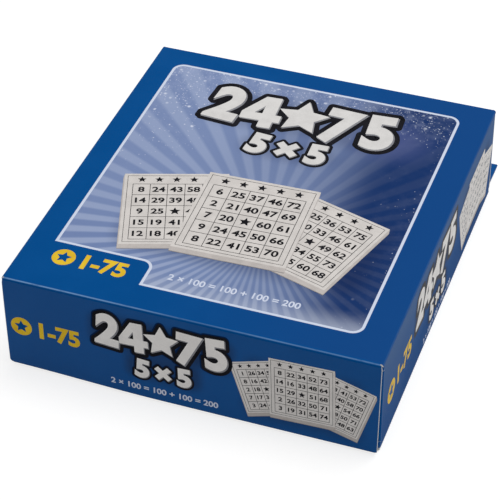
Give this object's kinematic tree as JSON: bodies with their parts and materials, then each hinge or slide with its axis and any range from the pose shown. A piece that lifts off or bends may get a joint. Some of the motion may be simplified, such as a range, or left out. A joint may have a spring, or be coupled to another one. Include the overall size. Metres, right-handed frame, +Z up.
{
  "type": "bingo pad carton",
  "caption": "Closed tuck-end folding carton of printed board that holds stacked pads of bingo sheets, with hinged end closures, tuck flaps and dust flaps.",
  "frame": {"origin": "centre of the carton's underside, on the surface that it stands on", "axes": "+X to the right as seen from the front closure, +Y to the rear along the carton's depth, +Z up"},
  "size_m": [0.104, 0.13, 0.0304],
  "materials": {
    "printed_board": "semi-gloss print on folding board",
    "bare_board": "matt, unprinted inside",
    "grey_board": "matt, recycled fibres",
    "sheet_paper": "matt, printed with number grids",
    "padding_glue": "satin film"
  },
  "bodies": {
    "carton": {"top_panel": "printed_board", "bottom_panel": "printed_board", "left_panel": "printed_board", "right_panel": "printed_board", "seam_flap": "bare_board"},
    "front_closure": {"front_closure": "printed_board"},
    "front_tuck": {"front_tuck_flap": "printed_board"},
    "front_left_dust": {"front_left_dust_flap": "printed_board"},
    "front_right_dust": {"front_right_dust_flap": "printed_board"},
    "rear_closure": {"rear_closure": "printed_board"},
    "rear_tuck": {"rear_tuck_flap": "printed_board"},
    "rear_left_dust": {"rear_left_dust_flap": "printed_board"},
    "rear_right_dust": {"rear_right_dust_flap": "printed_board"},
    "lower_pad": {"lower_backing": "grey_board", "lower_sheets": "sheet_paper", "lower_top_sheet": "sheet_paper", "lower_glue": "padding_glue"},
    "upper_pad": {"upper_backing": "grey_board", "upper_sheets": "sheet_paper", "upper_glue": "padding_glue"},
    "upper_sheet": {"upper_top_sheet": "sheet_paper"}
  },
  "joints": [
    {"name": "front_closure_fold", "type": "hinge", "parent": "carton", "child": "front_closure", "pos_m": [0, -0.0575, 0.03039], "axis": [-1, 0, 0], "range_deg": [0, 175]},
    {"name": "front_tuck_fold", "type": "hinge", "parent": "front_closure", "child": "front_tuck", "pos_m": [0, -0.05853, 0.0011], "axis": [-1, 0, 0], "range_deg": [-79, 0]},
    {"name": "front_left_dust_fold", "type": "hinge", "parent": "carton", "child": "front_left_dust", "pos_m": [-0.052, -0.05695, 0], "axis": [0, 0, -1], "range_deg": [0, 88]},
    {"name": "front_right_dust_fold", "type": "hinge", "parent": "carton", "child": "front_right_dust", "pos_m": [0.052, -0.05695, 0], "axis": [0, 0, 1], "range_deg": [0, 88]},
    {"name": "rear_closure_fold", "type": "hinge", "parent": "carton", "child": "rear_closure", "pos_m": [0, 0.0575, 0.03039], "axis": [1, 0, 0], "range_deg": [0, 175]},
    {"name": "rear_tuck_fold", "type": "hinge", "parent": "rear_closure", "child": "rear_tuck", "pos_m": [0, 0.05802, 0.00109], "axis": [1, 0, 0], "range_deg": [-167, 0]},
    {"name": "rear_left_dust_fold", "type": "hinge", "parent": "carton", "child": "rear_left_dust", "pos_m": [-0.052, 0.05695, 0], "axis": [0, 0, 1], "range_deg": [0, 88]},
    {"name": "rear_right_dust_fold", "type": "hinge", "parent": "carton", "child": "rear_right_dust", "pos_m": [0.052, 0.05695, 0], "axis": [0, 0, -1], "range_deg": [0, 88]},
    {"name": "lower_pad_slide", "type": "slide", "parent": "carton", "child": "lower_pad", "axis": [0, 1, 0], "range_m": [-0.0025, 0.0035]},
    {"name": "upper_pad_slide", "type": "slide", "parent": "carton", "child": "upper_pad", "axis": [0, 1, 0], "range_m": [-0.0025, 0.0035]},
    {"name": "upper_sheet_lift", "type": "hinge", "parent": "upper_pad", "child": "upper_sheet", "pos_m": [0, 0.05225, 0.02469], "axis": [-1, 0, 0], "range_deg": [0, 2.5]}
  ],
  "couplings": [
    {"joint": "front_tuck_fold", "follows": "front_closure_fold", "ratio": -0.45},
    {"joint": "front_left_dust_fold", "follows": "front_closure_fold", "ratio": 0.5},
    {"joint": "front_right_dust_fold", "follows": "front_closure_fold", "ratio": 0.5},
    {"joint": "rear_tuck_fold", "follows": "rear_closure_fold", "ratio": -0.95},
    {"joint": "rear_left_dust_fold", "follows": "rear_closure_fold", "ratio": 0.5},
    {"joint": "rear_right_dust_fold", "follows": "rear_closure_fold", "ratio": 0.5}
  ]
}
